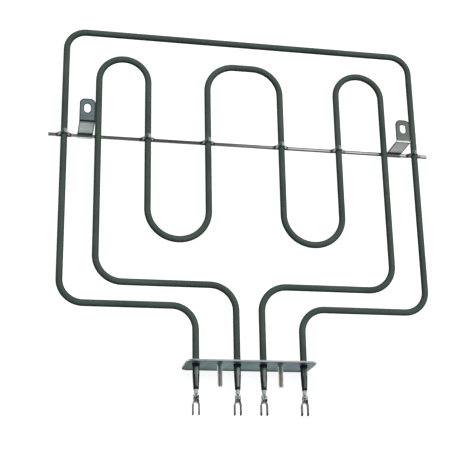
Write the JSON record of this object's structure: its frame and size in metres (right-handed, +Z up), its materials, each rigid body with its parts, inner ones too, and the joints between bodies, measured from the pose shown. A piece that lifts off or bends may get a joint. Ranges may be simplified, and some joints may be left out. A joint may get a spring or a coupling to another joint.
{
  "type": "tubular heating element",
  "caption": "Flat twin-loop tubular oven heating element with flange, studs, blade terminals, support bar and ceiling brackets.",
  "frame": {"origin": "middle of the four tubes on the flange's mounting face", "axes": "+X to the right, +Y from the flange into the oven, +Z up to the oven's roof, terminals to -Y"},
  "size_m": [0.388, 0.3872, 0.0545],
  "materials": {
    "sheath": "green-black oxidised stainless sheath, satin",
    "insulation": "packed white mineral powder, matt",
    "coil_wire": "resistance wire winding",
    "pin": "plain steel pin",
    "seal": "pale grey-white sealing bead",
    "terminal": "bright nickelled sheet",
    "flange": "bluish zinc-plated sheet, satin",
    "strip": "rolled stainless strip",
    "stud": "plain steel stud, slightly brown",
    "bracket": "rolled galvanised sheet"
  },
  "bodies": {
    "root": {"outer_sheath": "sheath", "outer_insulation": "insulation", "outer_resistance_coil": "coil_wire", "inner_sheath": "sheath", "inner_insulation": "insulation", "inner_resistance_coil": "coil_wire", "terminal_pin_outer_left": "pin", "end_seal_outer_left": "seal", "blade_terminal_outer_left": "terminal", "terminal_pin_inner_left": "pin", "end_seal_inner_left": "seal", "blade_terminal_inner_left": "terminal", "terminal_pin_inner_right": "pin", "end_seal_inner_right": "seal", "blade_terminal_inner_right": "terminal", "terminal_pin_outer_right": "pin", "end_seal_outer_right": "seal", "blade_terminal_outer_right": "terminal", "flange_plate": "flange", "clamp_strip": "strip", "support_strip": "strip", "mounting_stud_left": "stud", "ceiling_bracket_left": "bracket", "mounting_stud_right": "stud", "ceiling_bracket_right": "bracket"}
  },
  "joints": []
}
